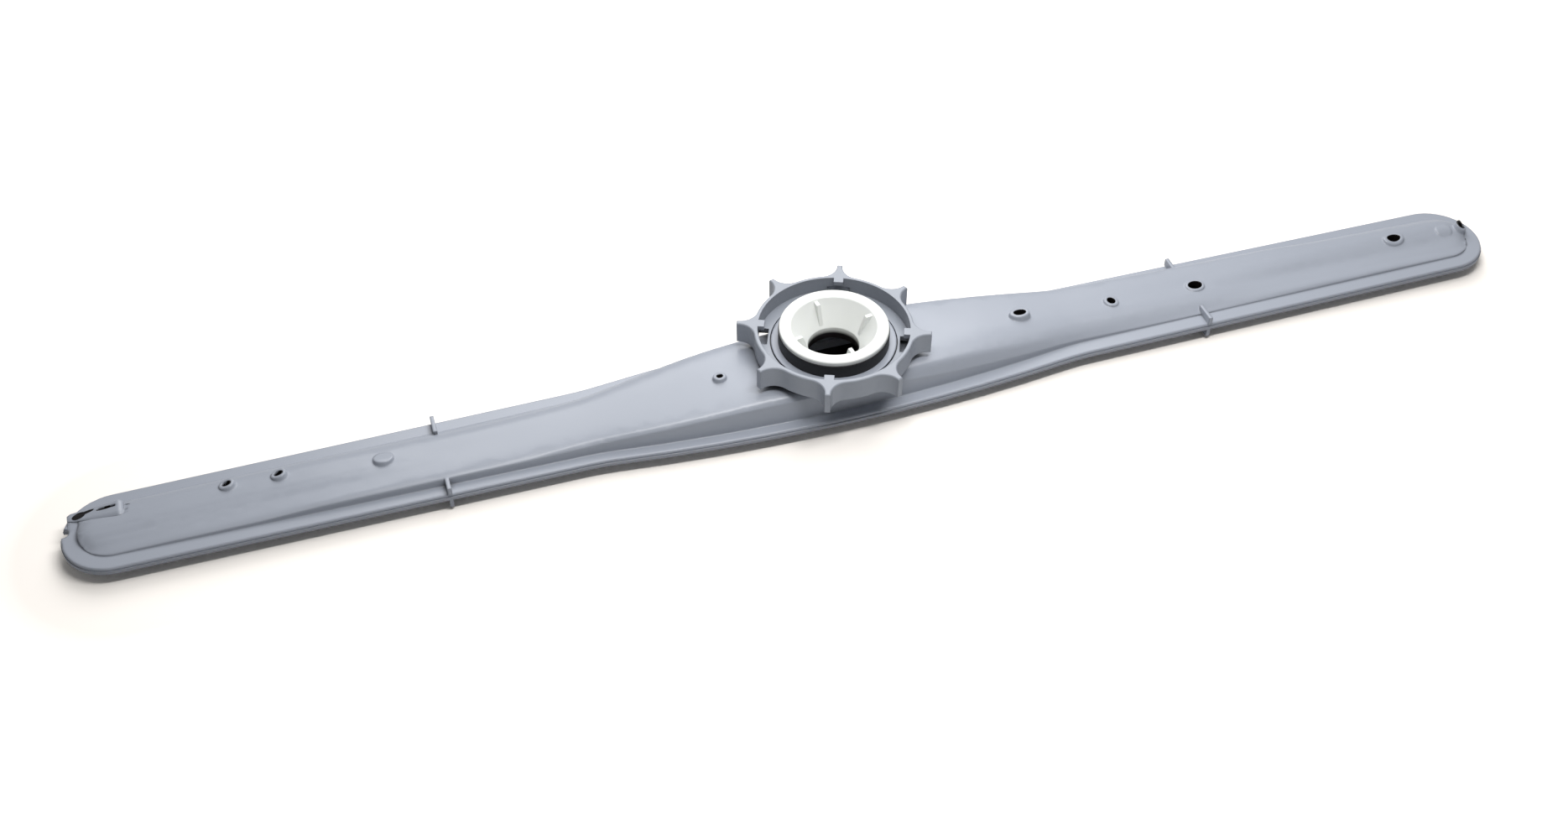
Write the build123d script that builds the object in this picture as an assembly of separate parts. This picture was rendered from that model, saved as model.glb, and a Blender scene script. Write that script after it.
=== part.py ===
"""Spray arm of a dishwasher: two welded half shells and a bayonet hub.

Millimetres, +Z up along the hub axis, +X along the arm. The origin is the
middle of the flat underside on which the arm lies. The arm looks the same
after half a turn about the hub axis, apart from its nozzles.
"""
import math
import os

from build123d import *

# Arm outline, seen from above
ARM_LENGTH = 460.0
TIP_HALF_WIDTH = 14.6        # half width at the rounded tips, also their radius
ROOT_HALF_WIDTH = 15.7       # half width where the straight edges end
ROOT_X = 76.0                # distance of that place from the hub axis
HUB_MARGIN = 0.1             # by which the arm is wider than the collar at the hub
ROOT_BLEND = 90.0            # radius that blends the straight edges into the bulge

# Shell sections
WALL = 1.5
FLANGE_THICK = 1.1           # each of the two welded flanges
TIP_FLANGE_WIDTH = 4.7       # flange beside the dome, at the tips
ROOT_FLANGE_WIDTH = 4.1
HUB_FLANGE_WIDTH = 3.8
FOOT_SKEW = 0.65             # at the roots, wider below the sharp shoulder, narrower below the soft
FLANGE_EDGE = 0.5            # radius along the rim of the upper flange
LOWER_FLANGE_LIP = 0.3       # how far the lower flange stands out
LOWER_DEPTH = 4.0            # tray below the lower flange
DOME_DRAFT = 6.0             # degrees, side wall of the upper dome
TRAY_DRAFT = 30.0            # degrees, side wall of the lower tray
TRAY_EDGE = 1.5              # radius along the bottom of the tray

# Height of the dome above the flange. Each row holds a distance from the hub
# axis, then the heights across the dome from its sharp shoulder to its soft
# one, at the shares of the half width in DOME_ACROSS.
DOME_ACROSS = (-1.0, -0.75, -0.5, -0.1, 0.35, 0.65, 0.85, 1.0)
DOME_ROWS = (
    (0.0, (8.0, 9.3, 9.7, 10.0, 9.9, 9.5, 8.9, 8.0)),
    (28.0, (7.8, 8.8, 9.3, 9.6, 9.7, 9.3, 8.2, 5.2)),
    (42.0, (7.0, 7.7, 8.2, 8.8, 9.1, 8.5, 7.2, 4.2)),
    (60.0, (5.6, 6.2, 6.6, 7.1, 7.2, 6.4, 5.0, 2.8)),
    (80.0, (4.0, 4.5, 4.9, 5.1, 5.0, 4.1, 2.7, 1.3)),
    (105.0, (3.1, 3.5, 3.8, 3.7, 3.7, 2.8, 1.5, 0.6)),
    (135.0, (2.7, 3.1, 3.3, 2.7, 2.9, 2.2, 1.1, 0.4)),
    (158.0, (2.3, 2.7, 3.0, 2.0, 2.7, 2.0, 1.0, 0.4)),
    (176.0, (1.1, 2.0, 2.7, 1.6, 2.5, 1.9, 0.9, 0.4)),
    (205.0, (0.7, 1.6, 2.4, 1.4, 2.3, 1.7, 0.8, 0.4)),
    (240.0, (0.6, 1.3, 2.0, 1.2, 2.0, 1.4, 0.7, 0.4)),
)
SHOULDER_REACH = 1.5         # width of the rounding along the shoulder
SHOULDER_DROP = 0.8          # by which the rounding lowers the dome at its wall
SHOULDER_FULL = 4.0          # height of the dome from which the rounding is full
TIP_REACH = 5.0              # width of the soft slope round the tips
TIP_DROP = 0.6               # share of the height that it takes off at the wall
TIP_START = 20.0             # from the centre of the tip's arc, where it begins

# Points of the dome's surface: across the dome, as shares of its half width,
# and along the arm, where the steps are shorter near the tips.
SURFACE_SHARES = (0.0, 0.15, 0.3, 0.45, 0.58, 0.69, 0.78, 0.85, 0.9, 0.94, 0.97, 1.0, 1.05, 1.15)
SURFACE_STEP = 8.0
SURFACE_TIP_STEP = 2.5
SURFACE_TIP = 26.0           # length of the stretch with shorter steps
SURFACE_MARGIN = 5.0         # how far the surface reaches past the tips
SURFACE_TOLERANCE = 0.03

# Cross ribs that stiffen the flanges
RIB_X = 122.2
RIB_THICK = 1.2
RIB_OVERHANG = 0.3
RIB_RISE = 2.6               # above the upper flange
RIB_DROP = 2.8               # below the lower flange
RIB_REACH = 1.8              # inwards from the root of the dome

# Hub, heights above the upper flange
NUT_TOP = 18.6
NUT_HEIGHT = 7.2
NUT_WALL = 1.2
NUT_INNER_R = 23.2
NUT_FLOOR_TOP = 13.3
NUT_HOLE_R = 18.4
NUT_REBATE_R = 19.5
NUT_REBATE_FLOOR = 12.4
LUG_COUNT = 8
LUG_REACH = 5.3              # of a lug beyond the wall of the nut
LUG_THICK = 1.7
LUG_FILLET = 5.5
LUG_PHASE = 22.5             # degrees from the arm's length to the first lug
NUT_EDGE = 0.3
TAB_COUNT = 4
TAB_WIDTH = 3.0
TAB_REACH = 2.0
TAB_THICK = 1.6
WINDOW_WIDTH = 7.2
WINDOW_INNER_R = 20.2

NECK_CLEAR = 0.3             # round the neck, under its lip and under the nut
NECK_WALL = 1.5
LIP_REACH = 1.1
LIP_THICK = 0.8
COLLAR_REACH = 2.5
STEM_CLEAR = 0.2

BUSH_RISE = 0.8              # of the bush above the nut
BUSH_FLANGE_R = 16.8
BUSH_FLANGE_THICK = 1.5
BUSH_MOUTH_R = 13.2
BUSH_THROAT_R = 7.9
BUSH_THROAT_TOP = 11.4
BUSH_END = 7.2
BUSH_WALL = 1.5
BUSH_EDGE = 0.6
HOOK_REACH = 0.8
HOOK_LEAD = 0.3
HOOK_COUNT = 4
HOOK_ANGLE = 44.0
GUSSET_COUNT = 4
GUSSET_PHASE = 7.5
GUSSET_THICK = 1.2
GUSSET_REACH = 2.5
GUSSET_DROP = 0.5            # below the face of the flange
GUSSET_STEP = 0.4            # from the throat to the foot of a gusset

SEAL_R = 18.0
SEAL_CLEAR = 0.3             # inside the seal, round the funnel
SEAL_SPIGOT = 1.8
SEAL_SPIGOT_CLEAR = 0.1

# Nozzles of the upper shell: place, half axes of the hole and of the boss,
# height of the boss and its lean along X and Y in degrees. A hole of 0 is a
# blank pad. Places are from the hub axis, and for the last ones from a tip.
NOZZLES = (
    (-183.0, 4.6, (1.3, 1.0), (2.7, 2.5), 0.9, -14.0, 6.0),
    (-168.3, 4.0, (1.3, 1.0), (2.7, 2.5), 0.9, -14.0, 6.0),
    (-138.5, 1.4, (0.0, 0.0), (3.4, 3.0), 0.8, 0.0, 10.0),
    (-36.8, -1.6, (1.0, 0.9), (2.5, 2.3), 1.1, 0.0, 4.0),
    (61.8, -0.6, (2.0, 1.3), (3.9, 3.0), 1.7, 0.0, 4.0),
    (94.0, -0.4, (1.35, 1.35), (2.8, 2.8), 0.7, 6.0, -4.0),
    (124.1, -0.3, (2.3, 1.7), (3.6, 3.0), 0.6, 0.0, 0.0),
)
TIP_NOZZLES = (
    (31.0, 1.6, (2.3, 1.5), (4.1, 3.1), 0.8, 0.0, 0.0),
    (12.0, 0.8, (0.0, 0.0), (3.2, 3.2), 0.5, 0.0, 0.0),
    (5.6, 1.0, (1.4, 1.4), (2.6, 2.6), 2.0, 10.0, -8.0),
)
BOSS_TAPER = 12.0            # degrees
BOSS_EDGE = 0.35

# Fan jet on a hump at the left tip, places from that tip
HUMP_X = (2.0, 18.0)
HUMP_Y = 6.0
HUMP_WIDTH = 6.4
HUMP_RISE = 3.3
HUMP_EDGE = 1.5
JET_LENGTH = 7.0
JET_HEIGHT = 1.6
JET_DEPTH = 2.6
SLOT_LENGTH = 5.2
SLOT_WIDTH = 0.9
SLOT_X = 13.4
NOTCH_R = 1.7

SEAM_Z = LOWER_DEPTH + FLANGE_THICK
DECK_Z = SEAM_Z + FLANGE_THICK
NECK_R = NUT_HOLE_R - NECK_CLEAR
NECK_TOP = NUT_REBATE_FLOOR + NECK_CLEAR + LIP_THICK
SHELL_FLOOR = DOME_ROWS[0][1][3] - WALL
STEM_R = BUSH_THROAT_R + BUSH_WALL
BUSH_TOP = NUT_TOP + BUSH_RISE
HUB_HALF_WIDTH = NECK_R + COLLAR_REACH + HUB_MARGIN


def plan(hub, root, tip, grow=0.0, skew=0.0):
    """Plan with these half widths at the hub, the roots and the tips, grown by grow."""
    tip_x = ARM_LENGTH / 2 - TIP_HALF_WIDTH
    with BuildSketch() as sketch:
        with BuildLine():
            for side in (1, -1):
                root_x = side * ROOT_X
                end_x = side * tip_x
                sharp = (root_x, side * (root + skew))
                soft = (-root_x, side * (root - skew))
                ThreePointArc(sharp, (0, side * hub), soft)
                Line(soft, (-end_x, side * tip))
                ThreePointArc((-end_x, side * tip), (-end_x - side * tip, 0), (-end_x, -side * tip))
                Line((-end_x, -side * tip), (-root_x, -side * (root + skew)))
        make_face()
        roots = [v for v in sketch.vertices() if abs(abs(v.X) - ROOT_X) < 1.0]
        fillet(roots, ROOT_BLEND)
        if grow:
            offset(amount=grow)
    return sketch.sketch


def outline(grow=0.0):
    """Plan of the arm's rim."""
    return plan(HUB_HALF_WIDTH, ROOT_HALF_WIDTH, TIP_HALF_WIDTH, grow)


def foot(grow=0.0):
    """Plan of the dome's foot, inside the flange."""
    return plan(
        HUB_HALF_WIDTH - HUB_FLANGE_WIDTH,
        ROOT_HALF_WIDTH - ROOT_FLANGE_WIDTH,
        TIP_HALF_WIDTH - TIP_FLANGE_WIDTH,
        grow,
        FOOT_SKEW,
    )


def width_at(x, hub, root, tip, skew=0.0):
    """Half width at x of a plan, without the blend at the roots."""
    u = abs(x)
    if u < ROOT_X:
        return hub - (hub - root) * (u / ROOT_X) ** 2 + skew * u / ROOT_X
    share = (u - ROOT_X) / (ARM_LENGTH / 2 - ROOT_X)
    return root + skew + (tip - root - skew) * share


def half_width(x):
    """Half width of the rim at x."""
    return width_at(x, HUB_HALF_WIDTH, ROOT_HALF_WIDTH, TIP_HALF_WIDTH)


def foot_width(x, y):
    """Half width of the dome's foot at x, on the side of y."""
    return width_at(
        x,
        HUB_HALF_WIDTH - HUB_FLANGE_WIDTH,
        ROOT_HALF_WIDTH - ROOT_FLANGE_WIDTH,
        TIP_HALF_WIDTH - TIP_FLANGE_WIDTH,
        FOOT_SKEW if x * y > 0 else -FOOT_SKEW,
    )


def between(value, knots):
    """Index and share of the interval of knots that holds value."""
    value = min(max(value, knots[0]), knots[-1])
    for i in range(len(knots) - 1):
        if value <= knots[i + 1]:
            break
    return i, (value - knots[i]) / (knots[i + 1] - knots[i])


def smooth(values, i, share):
    """Value between values[i] and values[i + 1] on a smooth curve through them all."""
    last = len(values) - 1
    before = values[max(i - 1, 0)]
    start = values[i]
    end = values[i + 1]
    after = values[min(i + 2, last)]
    rise = (end - before) / 2
    fall = (after - start) / 2
    s2 = share * share
    s3 = s2 * share
    return (
        (2 * s3 - 3 * s2 + 1) * start
        + (s3 - 2 * s2 + share) * rise
        + (3 * s2 - 2 * s3) * end
        + (s3 - s2) * fall
    )


def wall_distance(x, y):
    """Distance from a place on the arm inwards from the foot of the dome."""
    radius = TIP_HALF_WIDTH - TIP_FLANGE_WIDTH
    past = abs(x) - (ARM_LENGTH / 2 - TIP_HALF_WIDTH)
    if past > 0:
        return radius - math.hypot(past, y)
    return foot_width(x, y) - abs(y)


def rounding(depth, reach):
    """Falls from 1 at the wall to 0 at reach, and goes on rising outside the wall."""
    share = depth / reach
    if share < 0:
        return 1 - 2 * share
    return max(0.0, 1 - share) ** 2


def dome_height(x, across):
    """Height of the dome above the flange; across runs from -1 to 1 over its width."""
    side = across if x < 0 else -across
    i, s = between(side, DOME_ACROSS)
    k, t = between(abs(x), [row[0] for row in DOME_ROWS])
    height = smooth([smooth(row[1], i, s) for row in DOME_ROWS], k, t)
    distance = wall_distance(x, across * foot_width(x, across))
    near_tip = abs(x) - (ARM_LENGTH / 2 - TIP_HALF_WIDTH) + TIP_START
    share = min(max(near_tip / TIP_START, 0.0), 1.0)
    height -= height * TIP_DROP * share * rounding(distance, TIP_REACH)
    fullness = min(1.0, height / SHOULDER_FULL)
    depth = distance - height * math.tan(math.radians(DOME_DRAFT))
    return height - SHOULDER_DROP * fullness * rounding(depth, SHOULDER_REACH)


def surface_z(x, y):
    """Height of the dome's surface at a place on the arm."""
    return DECK_Z + dome_height(x, y / foot_width(x, y))


def stations():
    """Places along the arm at which the dome's surface is given."""
    end = ARM_LENGTH / 2 + SURFACE_MARGIN
    start = ARM_LENGTH / 2 - SURFACE_TIP
    coarse = round(start / SURFACE_STEP)
    fine = round((end - start) / SURFACE_TIP_STEP)
    half = [start * i / coarse for i in range(coarse + 1)]
    half += [start + (end - start) * (i + 1) / fine for i in range(fine)]
    return [-x for x in reversed(half[1:])] + half


def under_surface(drop):
    """Solid below the dome's surface lowered by drop."""
    shares = [-share for share in reversed(SURFACE_SHARES[1:])] + list(SURFACE_SHARES)
    grid = [
        [
            Vector(x, share * foot_width(x, share), DECK_Z + dome_height(x, share) - drop)
            for share in shares
        ]
        for x in stations()
    ]
    skin = Face.make_surface_from_array_of_points(
        grid, tol=SURFACE_TOLERANCE, min_deg=3, max_deg=8
    )
    return Solid.extrude(skin, Vector(0, 0, -DECK_Z - NUT_TOP))


def ring(outer, inner, bottom, top):
    """Plain ring between two heights above the upper flange."""
    height = top - bottom
    body = Cylinder(outer, height, align=(Align.CENTER, Align.CENTER, Align.MIN))
    hole = Cylinder(inner, height, align=(Align.CENTER, Align.CENTER, Align.MIN))
    return Pos(0, 0, DECK_Z + bottom) * (body - hole)


def turned(profile):
    """Body turned about Z from points of radius and height above the upper flange."""
    points = [(r, 0, DECK_Z + z) for r, z in profile]
    face = make_face(Polyline(*points, close=True))
    return revolve(face, Axis.Z)


def oval(half_x, half_y, height, taper=0.0):
    """Upright oval that stands on its own origin."""
    return extrude(Ellipse(half_x, half_y), amount=height, taper=taper)


def boss(half_x, half_y, height):
    """Tapered oval boss with a rounded top, sunk into the wall that carries it."""
    body = oval(half_x, half_y, WALL + height, BOSS_TAPER)
    top = body.faces().sort_by(Axis.Z)[-1]
    return Pos(0, 0, -WALL) * fillet(top.edges(), BOSS_EDGE)


def add_nozzles(shell):
    """Bosses with their holes, and the blank pads."""
    tip_x = ARM_LENGTH / 2
    places = NOZZLES + tuple((tip_x - row[0], *row[1:]) for row in TIP_NOZZLES)
    holes = []
    for x, y, hole, size, height, lean_x, lean_y in places:
        frame = Pos(x, y, surface_z(x, y)) * Rot(-lean_y, lean_x, 0)
        shell = shell + frame * boss(*size, height)
        if hole[0]:
            holes.append(frame * Pos(0, 0, -2 * WALL) * oval(*hole, 4 * WALL + height))
    return shell - holes


def add_fan_jet(shell):
    """Hump at the left tip with its jet opening, slot and drain notch."""
    tip_x = -ARM_LENGTH / 2
    start, end = HUMP_X
    block = Box(end - start, HUMP_WIDTH, HUMP_RISE + FLANGE_THICK)
    top = block.faces().sort_by(Axis.Z)[-1]
    rounded = fillet(top.edges() + block.edges().filter_by(Axis.Z), HUMP_EDGE)
    centre_z = DECK_Z + (HUMP_RISE - FLANGE_THICK) / 2
    hump = Pos(tip_x + (start + end) / 2, HUMP_Y, centre_z) * rounded
    hump = hump & extrude(outline(), amount=DECK_Z + NUT_TOP)
    jet = Box(2 * JET_LENGTH, JET_DEPTH, JET_HEIGHT)
    jet_y = HUMP_Y - (HUMP_WIDTH - JET_DEPTH) / 2 - 0.2
    slot = extrude(SlotOverall(SLOT_LENGTH, SLOT_WIDTH), amount=NUT_TOP)
    cuts = [
        Pos(tip_x + start, jet_y, DECK_Z + JET_HEIGHT / 2 + 0.5) * Rot(0, 0, 8) * jet,
        Pos(tip_x + SLOT_X, HUMP_Y + 0.6, DECK_Z) * slot,
    ]
    return shell + hump - cuts


def rib(side_x, side_y, bottom, top):
    """Cross rib on one of the four places where the flanges are stiffened."""
    outer = half_width(RIB_X) + RIB_OVERHANG
    inner = foot_width(side_x * RIB_X, side_y) - RIB_REACH
    block = Box(RIB_THICK, outer - inner, top - bottom)
    return Pos(side_x * RIB_X, side_y * (outer + inner) / 2, (top + bottom) / 2) * block


def notch():
    """Drain notch in the rim beside the fan jet."""
    return Pos(-ARM_LENGTH / 2 + 0.6, HUMP_Y - HUMP_WIDTH / 2, 0) * Cylinder(NOTCH_R, 4 * DECK_Z)


def upper_shell():
    """Domed half with the neck, the nozzles and the upper flange."""
    flange = extrude(outline(), amount=FLANGE_THICK)
    flange = Pos(0, 0, SEAM_Z) * fillet(flange.faces().sort_by(Axis.Z)[-1].edges(), FLANGE_EDGE)
    wall = Pos(0, 0, DECK_Z) * extrude(foot(), amount=NUT_TOP, taper=DOME_DRAFT)
    dome = wall & under_surface(0.0)
    ribs = [rib(sx, sy, DECK_Z, DECK_Z + RIB_RISE) for sx in (1, -1) for sy in (1, -1)]
    shell = flange + dome + ribs
    hollow = Pos(0, 0, SEAM_Z) * extrude(foot(-WALL), amount=NUT_TOP, taper=DOME_DRAFT)
    shell = shell - (hollow & under_surface(WALL))
    shell = add_nozzles(shell)
    shell = add_fan_jet(shell) - notch()
    plate = ring(NECK_R + COLLAR_REACH, STEM_R, SHELL_FLOOR, SHELL_FLOOR + WALL)
    neck = ring(NECK_R, NECK_R - NECK_WALL, SHELL_FLOOR, NECK_TOP)
    lip = ring(NECK_R + LIP_REACH, NECK_R - NECK_WALL, NECK_TOP - LIP_THICK, NECK_TOP)
    collar_top = NUT_TOP - NUT_HEIGHT - NECK_CLEAR
    collar = ring(NECK_R + COLLAR_REACH, NECK_R - NECK_WALL, SHELL_FLOOR, collar_top)
    pocket = ring(STEM_R + 2 * HOOK_REACH, STEM_R, 0, SHELL_FLOOR)
    stem_hole = Pos(0, 0, DECK_Z) * Cylinder(STEM_R + STEM_CLEAR, 2 * NUT_TOP)
    return shell + [plate, neck, lip, collar] - pocket - stem_hole


def lower_shell():
    """Shallow tray with the lower flange, closing the arm from below."""
    flange = Pos(0, 0, LOWER_DEPTH) * extrude(outline(LOWER_FLANGE_LIP), amount=FLANGE_THICK)
    down = (0, 0, -1)
    tray = extrude(foot(), amount=LOWER_DEPTH, dir=down, taper=TRAY_DRAFT)
    tray = Pos(0, 0, LOWER_DEPTH) * tray
    tray = fillet(tray.faces().sort_by(Axis.Z)[0].edges(), TRAY_EDGE)
    deep = LOWER_DEPTH + FLANGE_THICK - WALL
    hollow = extrude(foot(-WALL), amount=deep, dir=down, taper=TRAY_DRAFT)
    ribs = [rib(sx, sy, LOWER_DEPTH - RIB_DROP, LOWER_DEPTH) for sx in (1, -1) for sy in (1, -1)]
    hollow = Pos(0, 0, SEAM_Z) * hollow
    return flange + tray + ribs - hollow - notch()


def ring_nut():
    """Bayonet nut with eight finger lugs, four tabs and their windows."""
    outer_r = NUT_INNER_R + NUT_WALL
    with BuildSketch() as plan:
        Circle(outer_r)
        with PolarLocations(0, LUG_COUNT, start_angle=LUG_PHASE):
            Rectangle(outer_r + LUG_REACH, LUG_THICK, align=(Align.MIN, Align.CENTER))
        corners = [v for v in plan.vertices() if abs(math.hypot(v.X, v.Y) - outer_r) < 0.1]
        fillet(corners, LUG_FILLET)
    bottom = DECK_Z + NUT_TOP - NUT_HEIGHT
    nut = Pos(0, 0, bottom) * extrude(plan.sketch, amount=NUT_HEIGHT)
    nut = chamfer(nut.faces().sort_by(Axis.Z)[-1].edges(), NUT_EDGE)
    nut = nut - ring(NUT_INNER_R, NUT_HOLE_R / 2, NUT_FLOOR_TOP, NUT_TOP + 1)
    nut = nut - ring(NUT_REBATE_R, NUT_HOLE_R / 2, NUT_REBATE_FLOOR, NUT_FLOOR_TOP)
    nut = nut - Pos(0, 0, DECK_Z + NUT_TOP) * Cylinder(NUT_HOLE_R, 4 * NUT_HEIGHT)
    tab = Box(TAB_REACH + NUT_WALL / 2, TAB_WIDTH, TAB_THICK, align=(Align.MIN, Align.CENTER, Align.MAX))
    tab = Pos(NUT_INNER_R - TAB_REACH, 0, DECK_Z + NUT_TOP) * tab
    window = Box(NUT_INNER_R - WINDOW_INNER_R, WINDOW_WIDTH, NUT_HEIGHT, align=(Align.MIN, Align.CENTER, Align.CENTER))
    window = Pos(WINDOW_INNER_R, 0, bottom) * window
    for i in range(TAB_COUNT):
        turn = Rot(0, 0, LUG_PHASE + 45.0 + i * 360.0 / TAB_COUNT)
        nut = nut + turn * tab - turn * window
    return nut


def bush():
    """Funnel bush with its flange, mouth gussets and snap hooks."""
    underside = BUSH_TOP - BUSH_FLANGE_THICK
    cone_r = BUSH_MOUTH_R + BUSH_WALL
    body = turned((
        (BUSH_THROAT_R, BUSH_END),
        (STEM_R, BUSH_END),
        (STEM_R, BUSH_THROAT_TOP - BUSH_WALL / 2),
        (cone_r, underside - BUSH_WALL / 2),
        (cone_r, underside),
        (BUSH_FLANGE_R, underside),
        (BUSH_FLANGE_R, BUSH_TOP),
        (BUSH_MOUTH_R, BUSH_TOP),
        (BUSH_THROAT_R, BUSH_THROAT_TOP),
    ))
    rims = [
        e for e in body.edges().filter_by(GeomType.CIRCLE)
        if abs(e.center().Z - DECK_Z - BUSH_TOP) < 0.01
    ]
    body = fillet(rims, BUSH_EDGE)
    gusset_face = make_face(Polyline(
        (BUSH_MOUTH_R + BUSH_WALL / 2, 0, DECK_Z + BUSH_TOP - GUSSET_DROP),
        (BUSH_MOUTH_R - GUSSET_REACH, 0, DECK_Z + BUSH_TOP - GUSSET_DROP),
        (BUSH_THROAT_R + GUSSET_STEP, 0, DECK_Z + BUSH_THROAT_TOP + GUSSET_STEP),
        (STEM_R, 0, DECK_Z + BUSH_THROAT_TOP + GUSSET_STEP),
        close=True,
    ))
    gusset = extrude(gusset_face, amount=GUSSET_THICK / 2, both=True)
    for i in range(GUSSET_COUNT):
        body = body + Rot(0, 0, GUSSET_PHASE + i * 360.0 / GUSSET_COUNT) * gusset
    hook_top = DECK_Z + SHELL_FLOOR - STEM_CLEAR
    hook_face = make_face(Polyline(
        (STEM_R - BUSH_WALL / 2, 0, DECK_Z + BUSH_END + HOOK_LEAD),
        (STEM_R, 0, DECK_Z + BUSH_END + HOOK_LEAD),
        (STEM_R + HOOK_REACH, 0, hook_top - HOOK_LEAD),
        (STEM_R + HOOK_REACH, 0, hook_top),
        (STEM_R - BUSH_WALL / 2, 0, hook_top),
        close=True,
    ))
    hook = revolve(hook_face, Axis.Z, HOOK_ANGLE)
    for i in range(HOOK_COUNT):
        body = body + Rot(0, 0, GUSSET_PHASE + i * 360.0 / HOOK_COUNT) * hook
    return body


def seal_ring():
    """Rubber ring between the flange of the bush and the neck."""
    inner = BUSH_MOUTH_R + BUSH_WALL + SEAL_CLEAR
    spigot_r = NECK_R - NECK_WALL - SEAL_SPIGOT_CLEAR
    return turned((
        (inner, NECK_TOP - SEAL_SPIGOT),
        (spigot_r, NECK_TOP - SEAL_SPIGOT),
        (spigot_r, NECK_TOP),
        (SEAL_R, NECK_TOP),
        (SEAL_R, BUSH_TOP - BUSH_FLANGE_THICK),
        (inner, BUSH_TOP - BUSH_FLANGE_THICK),
    ))


PARTS = {
    "upper_shell": upper_shell,
    "lower_shell": lower_shell,
    "ring_nut": ring_nut,
    "bush": bush,
    "seal_ring": seal_ring,
}

os.makedirs("parts", exist_ok=True)
for name, make in PARTS.items():
    export_step(make(), f"parts/{name}.step")
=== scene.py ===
"""Looks of a dishwasher spray arm on the frame of its solids: finishes, floor, light and camera."""

import math

import bmesh
import bpy
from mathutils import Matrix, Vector
from mathutils.bvhtree import BVHTree


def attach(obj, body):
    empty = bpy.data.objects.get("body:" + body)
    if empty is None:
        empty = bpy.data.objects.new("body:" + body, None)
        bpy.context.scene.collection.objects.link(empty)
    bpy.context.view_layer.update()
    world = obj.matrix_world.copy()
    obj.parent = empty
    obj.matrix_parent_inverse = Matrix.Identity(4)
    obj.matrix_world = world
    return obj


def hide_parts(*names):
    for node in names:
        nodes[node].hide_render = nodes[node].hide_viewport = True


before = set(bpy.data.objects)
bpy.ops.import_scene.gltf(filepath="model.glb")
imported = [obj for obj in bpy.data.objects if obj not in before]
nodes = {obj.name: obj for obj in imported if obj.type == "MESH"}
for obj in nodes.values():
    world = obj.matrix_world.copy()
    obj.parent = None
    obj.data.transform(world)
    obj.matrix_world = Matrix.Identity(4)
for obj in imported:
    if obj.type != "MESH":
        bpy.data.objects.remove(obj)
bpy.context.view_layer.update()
MM = 0.001

# Lower shell: the trough of the arm, moulded in grey polypropylene and welded
# under the flange of the upper shell. Its inside is only seen through the
# holes of the nozzles, where painted shade darkens the floor of its channel.
MOTTLE = 36 * MM             # size of the faint mottling that pigment leaves
FLOW = 0.35                  # share of its scale along the arm, where the melt draws it out
SHEEN = 17 * MM              # size of the patches where the mould's polish varies
SHEEN_SPREAD = 0.04          # of the roughness, either way in those patches
GRAIN = 0.4 * MM             # size of the mould's grain, coarser than the real one so that it shows
GRAIN_DEPTH = 0.03 * MM
GRAIN_STRENGTH = 0.2
EDGE_RADIUS = 0.35 * MM      # rounding that a mould's edges leave
SAMPLES = 8                  # rays that look for edges and for gaps
PLASTIC_IOR = 1.49
# Colour of the painted shade in gaps, holes and hollows, and how open a place is where it is full and
# where it starts
PAINTED_SHADE = (0.0085, 0.007, 0.0075)
DEEP_AT = 0.16               # how open a place is where it is wholly dark
OPEN_AT = 0.52               # and where it begins to darken
# The next two bound the painted shade on the floor of the lower shell's water channel
CHANNEL_Z = 3.0 * MM         # the floor of the water channel lies below this height
FACES_UP = 0.3               # share of its normal that points up


def linear(code):
    """Linear RGB from an sRGB hex code."""
    parts = [int(code[i:i + 2], 16) / 255 for i in (1, 3, 5)]
    return tuple(c / 12.92 if c <= 0.04045 else ((c + 0.055) / 1.055) ** 2.4 for c in parts)


def add(tree, kind, inputs=None, **settings):
    """Adds a node with its settings and inputs, which are values or sockets of other nodes."""
    node = tree.nodes.new("ShaderNode" + kind)
    for name, value in settings.items():
        setattr(node, name, value)
    for name, value in (inputs or {}).items():
        if isinstance(value, bpy.types.NodeSocket):
            tree.links.new(value, node.inputs[name])
        else:
            node.inputs[name].default_value = value
    return node


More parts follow.
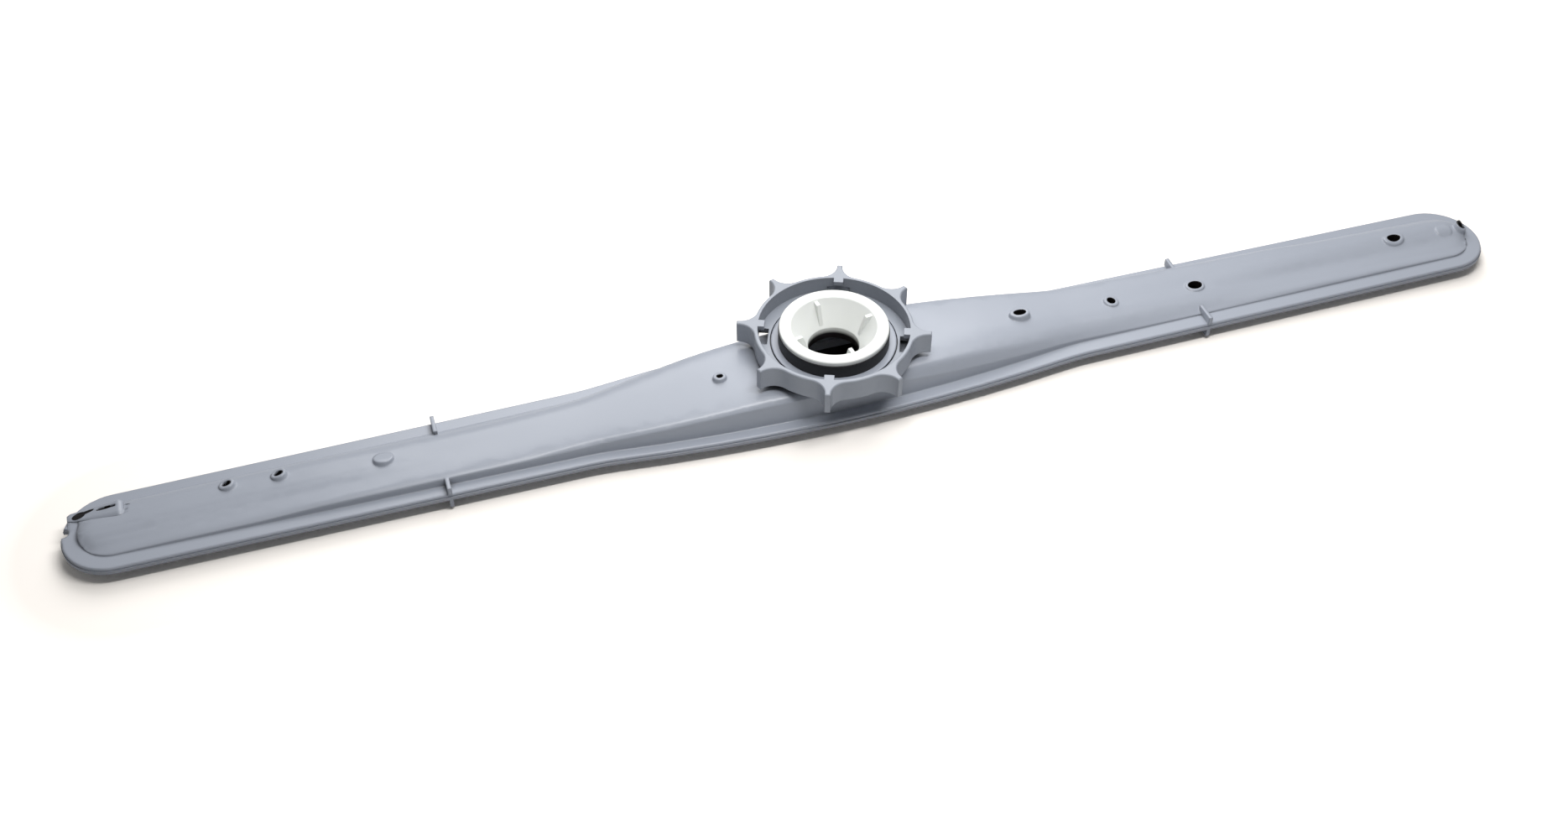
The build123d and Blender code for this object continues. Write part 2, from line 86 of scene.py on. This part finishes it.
def moulded_plastic(name, code, rough, edge, reach, dark=None, spread=0.02):
    """
    Moulded plastic: faint mottling, uneven sheen, soft edges, fine grain and painted shade. Gaps
    narrower than reach get painted shade, and dark gives the node that tells where else shade is painted.
    """
    material = bpy.data.materials.new(name)
    material.use_nodes = True
    tree = material.node_tree
    shader = tree.nodes["Principled BSDF"]
    place = add(tree, "TexCoord").outputs["Object"]
    flow = add(tree, "Mapping", {"Vector": place, "Scale": (FLOW, 1, 1)}).outputs["Vector"]
    mottle = add(tree, "TexNoise", {"Vector": flow, "Scale": 1 / MOTTLE, "Detail": 3.0, "Roughness": 0.55})
    base = linear(code)
    color = add(tree, "Mix", {
        "Factor": mottle.outputs["Fac"],
        "A": (*(c * (1 - spread) for c in base), 1),
        "B": (*(min(1.0, c * (1 + spread)) for c in base), 1),
    }, data_type="RGBA").outputs["Result"]
    # Painted shade: gaps narrower than reach are darkened in the colour
    if reach:
        closed = add(tree, "AmbientOcclusion", {"Distance": reach}, samples=SAMPLES).outputs["AO"]
        share = add(tree, "MapRange", {"Value": closed, "From Min": OPEN_AT, "From Max": DEEP_AT})
        color = add(tree, "Mix", {
            "Factor": share.outputs["Result"], "A": color, "B": (*PAINTED_SHADE, 1)
        }, data_type="RGBA").outputs["Result"]
    # Painted shade wherever the dark mask says
    if dark:
        color = add(tree, "Mix", {
            "Factor": dark(tree, place), "A": color, "B": (*PAINTED_SHADE, 1)
        }, data_type="RGBA").outputs["Result"]
    tree.links.new(color, shader.inputs["Base Color"])
    patch = add(tree, "TexNoise", {"Vector": place, "Scale": 1 / SHEEN, "Detail": 4.0, "Roughness": 0.6})
    sheen = add(tree, "MapRange", {
        "Value": patch.outputs["Fac"], "To Min": rough - SHEEN_SPREAD, "To Max": rough + SHEEN_SPREAD
    })
    tree.links.new(sheen.outputs["Result"], shader.inputs["Roughness"])
    grain = add(tree, "TexNoise", {"Vector": place, "Scale": 1 / GRAIN, "Detail": 2.0})
    round_edges = add(tree, "Bevel", {"Radius": edge}, samples=SAMPLES)
    normal = add(tree, "Bump", {
        "Strength": GRAIN_STRENGTH, "Distance": GRAIN_DEPTH,
        "Height": grain.outputs["Fac"], "Normal": round_edges.outputs["Normal"],
    })
    tree.links.new(normal.outputs["Normal"], shader.inputs["Normal"])
    shader.inputs["IOR"].default_value = PLASTIC_IOR
    return material


def channel(tree, place):
    """Painted shade: 1 on the floor of the water channel, which faces up, and 0 elsewhere."""
    normal = add(tree, "NewGeometry").outputs["Normal"]
    up = add(tree, "SeparateXYZ", {"Vector": normal}).outputs["Z"]
    height = add(tree, "SeparateXYZ", {"Vector": place}).outputs["Z"]
    faces_up = add(tree, "Math", {0: up, 1: FACES_UP}, operation="GREATER_THAN").outputs[0]
    low = add(tree, "Math", {0: height, 1: CHANNEL_Z}, operation="LESS_THAN").outputs[0]
    return add(tree, "Math", {0: faces_up, 1: low}, operation="MULTIPLY").outputs[0]


def dress(name, material):
    """Gives a solid of the frame its finish."""
    data = nodes[name].data
    data.materials.clear()
    data.materials.append(material)


# Satin mid grey, a shade darker than the upper shell, with painted shade in its gaps and on the trough's
# floor
dress("lower_shell", moulded_plastic(
    "lower_shell_polypropylene", "#8e929b", rough=0.36, edge=EDGE_RADIUS, reach=3 * MM, dark=channel
))

# Upper shell: the crowned lid of the arm with its nozzles, one moulding in grey
# polypropylene. Its outer stretches carry a soft fold, and the fan jet at the
# left tip is a low, narrow hump with a slot and an opening, which are painted dark as shade.
SHELL_EDGE = 0.9 * MM        # the mould of the lid has softer edges
MERGE = 0.001 * MM           # corners of the solid's loose triangles nearer than this are one
DECK_Z = 6.2                 # top of the flange; this and the next are in millimetres
TIP_X = 215.4                # centres of the arcs of the tips
DOME_R = 11.0                # outer edge of the dome
FOLD_EASE = 1.5              # width over which the fold dies out towards that edge
FOLD_START = 115.0           # from the hub axis, where the fold begins and where it is full
FOLD_FULL = 165.0
FOLD_STEP = 1.0              # between the places across the arm where its height is set
FOLD_EDGE = 11               # steps from the middle to the first and the last of them
FOLD_LEFT_AT = -190.0        # along the arm, where the plain dome is measured on either side
FOLD_RIGHT_AT = 180.0
ABOVE_ALL = 40.0             # the plain dome is measured from this height

# Height of the folded skin above the deck on either side, by its place across the arm: a steep
# near shoulder, a plateau that rises gently, a crest past the middle and a round far shoulder
FOLD_LEFT = (
    (-11, 0), (-10, 1.05), (-9, 1.45), (-8, 1.6), (-6, 1.85), (-3, 2.35), (0, 2.85), (2, 3.05),
    (3, 3.1), (4, 3.1), (5, 3.0), (6, 2.8), (7, 2.5), (8, 2.1), (9, 1.6), (10, 0.9), (11, 0),
)
FOLD_RIGHT = (
    (-11, 0), (-10, 0.85), (-9, 1.15), (-8, 1.3), (-4, 1.5), (-3, 1.62), (-2, 1.85), (-1, 2.2),
    (0, 2.55), (1, 2.85), (2, 3.1), (3, 3.3), (4, 3.4), (5, 3.4), (6, 3.25), (7, 3.0), (8, 2.6), (9, 2.1),
    (10, 1.3), (11, 0),
)
FOLD_LOWEST = 0.05           # of the outer skin above the deck, once the fold is in it
SLOPE_STEP = 0.05            # over which a slope of the fold is taken
CUT_Y = 0.8                  # between the cuts across the arm that let the skin bend
CUT_X = 5.0                  # between those along it
CUTS_Y = [i * CUT_Y for i in range(-14, 15)]
CUTS_X = [side * (FOLD_START + i * CUT_X) for side in (-1, 1) for i in range(20)]
DECK_LAYER = 0.1             # what is lower than this above the deck stays
DECK_EVEN = 0.02             # and up to here its normals stay
OUTSIDE = 0.2                # upward share of a normal on the outer skin
JET_X = (-228.0, -213.5)     # from the tip to the inner end of the fan jet's hump
JET_REACH = -211.0           # it ends short of this
JET_Y = (2.6, 9.4)           # its near and its far side
JET_BASE = 0.5               # height that stays of it, above the deck
JET_SHARE = (0.10, 0.75)     # of the rest, at the tip and at the inner end
JET_SHIFT = 3.6              # of the near side towards the far one, at the tip

# Ovals of painted shade in the holes of the nozzles and the slot and the opening of the fan jet:
# place, turn and half axes of an oval, all in millimetres and radians
HOLES = (
    (-183.0, 4.6, 0, 1.35, 1.05), (-168.3, 4.0, 0, 1.35, 1.05), (-36.8, -1.6, 0, 1.05, 0.95),
    (61.8, -0.6, 0, 2.1, 1.4), (94.0, -0.4, 0, 1.42, 1.42), (124.1, -0.3, 0, 2.4, 1.8),
    (199.0, 1.6, 0, 2.4, 1.6), (224.4, 1.0, 0, 1.5, 1.5),
    (-216.9, 6.85, -0.05, 2.7, 0.5),
    (-223.2, 7.5, 0.12, 3.1, 0.6), (-224.6, 7.2, 0.12, 2.0, 1.2),
)
ALL_HEIGHTS = 1000.0         # in metres: the ovals reach through the whole arm


def ease(value):
    """Smooth step from 0 to 1."""
    value = min(max(value, 0.0), 1.0)
    return value * value * (3 - 2 * value)


def fold_steps(dome, x, shape):
    """Heights of a fold over the plain dome, one step apart across the arm."""
    heights = []
    for step in range(-FOLD_EDGE, FOLD_EDGE + 1):
        y = step * FOLD_STEP
        top = dome.ray_cast(Vector((x, y, ABOVE_ALL)) * MM, Vector((0, 0, -1)))[0]
        before = max(point for point in shape if point[0] <= y)
        after = min(point for point in shape if point[0] >= y)
        share = (y - before[0]) / (after[0] - before[0]) if after[0] > before[0] else 0
        wanted = before[1] + (after[1] - before[1]) * share
        heights.append(wanted - (top.z / MM - DECK_Z))
    return heights


def fold(x, y):
    """Height of the soft fold over the plain dome, in millimetres."""
    edge = DOME_R - math.hypot(max(abs(x) - TIP_X, 0.0), y)
    share = ease((abs(x) - FOLD_START) / (FOLD_FULL - FOLD_START)) * ease(edge / FOLD_EASE)
    if share == 0:
        return 0.0
    height = 0.0
    for i, value in enumerate(left_steps if x < 0 else right_steps):
        t = abs(y / FOLD_STEP + FOLD_EDGE - i)
        if t < 1:
            height += value * (2 / 3 - t * t + t ** 3 / 2)
        elif t < 2:
            height += value * (2 - t) ** 3 / 6
    return height * share


def folded(normal, x, y):
    """Normal of the outer skin once the fold is in it."""
    slope_x = (fold(x + SLOPE_STEP, y) - fold(x - SLOPE_STEP, y)) / (2 * SLOPE_STEP)
    slope_y = (fold(x, y + SLOPE_STEP) - fold(x, y - SLOPE_STEP)) / (2 * SLOPE_STEP)
    tilt = Vector((slope_x * normal.z, slope_y * normal.z, 0))
    return (normal - tilt).normalized()


def in_hump(x, y):
    """Whether a point lies on the fan jet's hump."""
    return x < JET_REACH and JET_Y[0] < y < JET_Y[1]


def hump(x, y, height):
    """Place across the arm and height of a point of the fan jet's hump, in millimetres."""
    share = min(max((x - JET_X[0]) / (JET_X[1] - JET_X[0]), 0.0), 1.0)
    if height > JET_BASE:
        height = JET_BASE + (height - JET_BASE) * (JET_SHARE[0] + (JET_SHARE[1] - JET_SHARE[0]) * share)
    return y + JET_SHIFT * (1 - share) * (JET_Y[1] - y) / (JET_Y[1] - JET_Y[0]), height


def add_piece(mesh, name, stands_for, material):
    """Makes a mesh a piece of the arm that stands for a solid."""
    mesh.materials.clear()
    mesh.materials.append(material)
    piece = bpy.data.objects.new(name, mesh)
    bpy.context.scene.collection.objects.link(piece)
    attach(piece, "arm")
    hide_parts(stands_for)


def holes(tree, place):
    """Painted shade: 1 in the holes of the nozzles and the fan jet's slot and opening, and 0 elsewhere."""
    inside = None
    for x, y, turn, half_x, half_y in HOLES:
        local = add(tree, "Mapping", {
            "Vector": place, "Location": (x * MM, y * MM, 0), "Rotation": (0, 0, turn),
            "Scale": (half_x * MM, half_y * MM, ALL_HEIGHTS),
        }, vector_type="TEXTURE").outputs["Vector"]
        far = add(tree, "VectorMath", {0: local}, operation="LENGTH").outputs["Value"]
        near = add(tree, "Math", {0: far, 1: 1.0}, operation="LESS_THAN").outputs[0]
        if inside:
            near = add(tree, "Math", {0: inside, 1: near}, operation="MAXIMUM").outputs[0]
        inside = near
    return inside


# The exact normals of the solid ride along as a layer, so that they outlast the merge
solid = nodes["upper_shell"].data
lid = bmesh.new()
lid.from_mesh(solid)
plain_dome = BVHTree.FromBMesh(lid)
left_steps = fold_steps(plain_dome, FOLD_LEFT_AT, FOLD_LEFT)
right_steps = fold_steps(plain_dome, FOLD_RIGHT_AT, FOLD_RIGHT)
skin = lid.loops.layers.float_vector.new("skin_normal")
for face in lid.faces:
    start = solid.polygons[face.index].loop_start
    for i, loop in enumerate(face.loops):
        loop[skin] = solid.corner_normals[start + i].vector
bmesh.ops.remove_doubles(lid, verts=lid.verts, dist=MERGE)
for axis, cuts in ((0, CUTS_X), (1, CUTS_Y)):
    across = Vector((axis == 0, axis == 1, 0))
    for cut in cuts:
        touched = [face for face in lid.faces if max(abs(v.co.x) for v in face.verts) > FOLD_START * MM]
        edges = {edge for face in touched for edge in face.edges}
        corners = {vertex for face in touched for vertex in face.verts}
        bmesh.ops.bisect_plane(
            lid, geom=touched + list(edges) + list(corners), dist=MERGE,
            plane_co=across * cut * MM, plane_no=across,
        )
lid.normal_update()
for vertex in lid.verts:
    x, y, z = (c / MM for c in vertex.co)
    height = z - DECK_Z
    if height < DECK_LAYER:
        continue
    if vertex.normal.z > OUTSIDE:
        height = max(height + fold(x, y), FOLD_LOWEST)
    if in_hump(x, y):
        y, height = hump(x, y, height)
    vertex.co = (x * MM, y * MM, (height + DECK_Z) * MM)
mesh = bpy.data.meshes.new("upper_shell_moulding")
lid.to_mesh(mesh)
lid.free()
kept = mesh.attributes["skin_normal"].data
normals = [Vector(corner.vector).normalized() for corner in kept]
for face in mesh.polygons:
    for i in face.loop_indices:
        x, y, z = (c / MM for c in mesh.vertices[mesh.loops[i].vertex_index].co)
        if in_hump(x, y):
            normals[i] = face.normal.copy()
        elif normals[i].z > OUTSIDE and z > DECK_Z + DECK_EVEN:
            normals[i] = folded(normals[i], x, y)
mesh.attributes.remove(mesh.attributes["skin_normal"])
mesh.shade_smooth()
mesh.normals_split_custom_set(normals)
# Satin light grey with the soft grain of a spark-eroded mould, and painted shade in its gaps and holes
add_piece(mesh, "upper_shell_moulding", "upper_shell", moulded_plastic(
    "upper_shell_polypropylene", "#989da7", rough=0.32, edge=SHELL_EDGE, reach=5 * MM, dark=holes
))

# Bush: the white bearing in the middle, turned in looks but moulded in acetal,
# with a flanged funnel and four gussets. Light goes a little way into it.
THROAT_R = 8.4 * MM
# Painted shade fills the throat: full below the first height and none above the second
THROAT_Z = (15.4 * MM, 17.0 * MM)    # wholly dark below the first, not dark above the second
LIGHT_REACH = (2.0 * MM, 2.0 * MM, 1.8 * MM)


def throat(tree, place):
    """Painted shade: 1 deep in the throat of the bush, and 0 elsewhere."""
    local = add(tree, "Mapping", {
        "Vector": place, "Scale": (THROAT_R, THROAT_R, ALL_HEIGHTS)
    }, vector_type="TEXTURE").outputs["Vector"]
    far = add(tree, "VectorMath", {0: local}, operation="LENGTH").outputs["Value"]
    near = add(tree, "Math", {0: far, 1: 1.0}, operation="LESS_THAN").outputs[0]
    height = add(tree, "SeparateXYZ", {"Vector": place}).outputs["Z"]
    deep = add(tree, "MapRange", {"Value": height, "From Min": THROAT_Z[1], "From Max": THROAT_Z[0]})
    return add(tree, "Math", {0: near, 1: deep.outputs["Result"]}, operation="MULTIPLY").outputs[0]


# Waxy white, glossier than the shells, faintly translucent, with painted shade deep in its throat
acetal = moulded_plastic(
    "bush_acetal", "#e0e2df", rough=0.30, edge=EDGE_RADIUS, reach=0, dark=throat, spread=0.01
)
acetal_shader = acetal.node_tree.nodes["Principled BSDF"]
acetal_shader.inputs["Subsurface Weight"].default_value = 0.5
acetal_shader.inputs["Subsurface Radius"].default_value = LIGHT_REACH
dress("bush", acetal)

# Seal ring: a moulded ring of black rubber that lies in the groove under the
# flange of the bush and closes the gap round it. It shows as a dark band.
SEAL_R = 17.0 * MM           # it shows just past the flange of the bush

mesh = nodes["seal_ring"].data.copy()
for vertex in mesh.vertices:
    out = math.hypot(vertex.co.x, vertex.co.y)
    if out > SEAL_R:
        vertex.co.x *= SEAL_R / out
        vertex.co.y *= SEAL_R / out
# Matt near black, with a rougher and less even skin than the plastics, and painted shade in its gaps
add_piece(mesh, "seal", "seal_ring", moulded_plastic(
    "seal_rubber", "#141416", rough=0.55, edge=EDGE_RADIUS, reach=6 * MM, spread=0.12
))

# Ring nut: the eight-lobed bayonet nut that holds the arm to its feed, moulded
# in the same grey polypropylene and turned by hand. Its sockets get painted shade.

# Satin grey, darker than the lid as painted shade for its walls, and painted shade in its gaps
dress("ring_nut", moulded_plastic(
    "ring_nut_polypropylene", "#90959e", rough=0.36, edge=EDGE_RADIUS, reach=6 * MM
))

# Floor: a matt white sheet. The camera sees it as white, made brighter away from the arm by
# painted light, the shadow of the arm stays on it, and it throws only a plain share of the
# light back on the arm.
FLOOR_SIZE = 6.0             # in metres
FLOOR_SEEN = 1.05            # brightness for the camera beside the arm, and far from it
FLOOR_FAR = 9.0
FLOOR_HALF_X = 210 * MM      # half length of the arm's axis
FLOOR_NEAR = 34 * MM         # from that axis, where the first ends and the second begins
FLOOR_AWAY = 400 * MM
FLOOR_BOUNCE = 0.62          # for the light that it throws back
SHADOW_TINT = (1.0, 0.955, 0.90)

paper = bpy.data.materials.new("floor_paper")
paper.use_nodes = True
paper_tree = paper.node_tree
paper_tree.nodes.remove(paper_tree.nodes["Principled BSDF"])
paper_place = add(paper_tree, "TexCoord").outputs["Object"]
paper_split = add(paper_tree, "SeparateXYZ", {"Vector": paper_place})
along = add(paper_tree, "Math", {0: paper_split.outputs["X"]}, operation="ABSOLUTE").outputs[0]
past = add(paper_tree, "Math", {0: along, 1: FLOOR_HALF_X}, operation="SUBTRACT").outputs[0]
past = add(paper_tree, "Math", {0: past, 1: 0.0}, operation="MAXIMUM").outputs[0]
flat = add(paper_tree, "CombineXYZ", {"X": past, "Y": paper_split.outputs["Y"]}).outputs["Vector"]
away = add(paper_tree, "VectorMath", {0: flat}, operation="LENGTH").outputs["Value"]
# Painted light: the camera sees the floor ever brighter away from the arm, where the lamps light it less
level = add(paper_tree, "MapRange", {
    "Value": away, "From Min": FLOOR_NEAR, "From Max": FLOOR_AWAY,
    "To Min": FLOOR_SEEN, "To Max": FLOOR_FAR,
}).outputs["Result"]
tint = add(paper_tree, "VectorMath", {0: SHADOW_TINT, "Scale": level}, operation="SCALE").outputs["Vector"]
seen = add(paper_tree, "BsdfDiffuse", {"Color": tint}).outputs["BSDF"]
bounce_color = (FLOOR_BOUNCE, FLOOR_BOUNCE, FLOOR_BOUNCE, 1)
bounce = add(paper_tree, "BsdfDiffuse", {"Color": bounce_color}).outputs["BSDF"]
by_camera = add(paper_tree, "LightPath").outputs["Is Camera Ray"]
paper_mix = add(paper_tree, "MixShader", {0: by_camera, 1: bounce, 2: seen}).outputs["Shader"]
paper_tree.links.new(paper_mix, paper_tree.nodes["Material Output"].inputs["Surface"])
bpy.ops.mesh.primitive_plane_add(size=FLOOR_SIZE, location=(0, 0, 0))
floor = bpy.context.object
floor.name = "studio_floor"
floor.data.materials.append(paper)

# Light: the even white of a product studio, pure white to the camera, with a
# soft box behind the arm, one over the hub and a narrow one in front.
WORLD_LEVEL = 0.22
WORLD_COLOR = (0.97, 0.985, 1.0, 1)

# Soft boxes: name, place, aim and size in metres, and power in watts
SOFT_BOXES = (
    ("back_box", (0.08, 0.40, 0.40), (0.04, 0, 0), (0.5, 0.4), 2.05),
    ("top_box", (0.10, 0.02, 0.44), (0.09, 0, 0), (0.34, 0.34), 1.05),
    ("front_box", (0.0, -0.10, 0.36), (0.0, 0, 0), (0.24, 0.03), 0.75),
)

studio = bpy.data.worlds.new("studio")
studio.use_nodes = True
bpy.context.scene.world = studio
studio_tree = studio.node_tree
even = studio_tree.nodes["Background"]
even.inputs["Color"].default_value = WORLD_COLOR
even.inputs["Strength"].default_value = WORLD_LEVEL
white = add(studio_tree, "Background", {"Color": (1, 1, 1, 1), "Strength": 1.0}).outputs["Background"]
by_camera = add(studio_tree, "LightPath").outputs["Is Camera Ray"]
studio_mix = add(studio_tree, "MixShader", {0: by_camera, 1: even.outputs["Background"], 2: white})
studio_tree.links.new(studio_mix.outputs["Shader"], studio_tree.nodes["World Output"].inputs["Surface"])
for name, at, aim, size, watts in SOFT_BOXES:
    data = bpy.data.lights.new(name, "AREA")
    data.shape = "RECTANGLE"
    data.size, data.size_y = size
    data.energy = watts
    lamp = bpy.data.objects.new(name, data)
    lamp.location = at
    lamp.rotation_euler = (Vector(aim) - Vector(at)).to_track_quat("-Z", "Y").to_euler()
    bpy.context.scene.collection.objects.link(lamp)

# Camera: the reference view, from the front left and above. Its place, turn and
# lens were worked out from the arm's tips, edges and lugs as they show there.
CAMERA_AT = Vector((-132.74, -366.13, 371.16)) * MM
CAMERA_ELEVATION = math.radians(44.75)
CAMERA_YAW = math.radians(17.695)
LENS_MM = 39.39
SENSOR_MM = 36.0

optics = bpy.data.cameras.new("reference_view")
optics.sensor_width = SENSOR_MM
optics.sensor_fit = "HORIZONTAL"
optics.lens = LENS_MM
optics.clip_start = 10 * MM
camera = bpy.data.objects.new("reference_view", optics)
camera.location = CAMERA_AT
camera.rotation_euler = (math.pi / 2 - CAMERA_ELEVATION, 0, -CAMERA_YAW)
bpy.context.scene.collection.objects.link(camera)
bpy.context.scene.camera = camera
bpy.context.scene.view_settings.view_transform = "Standard"
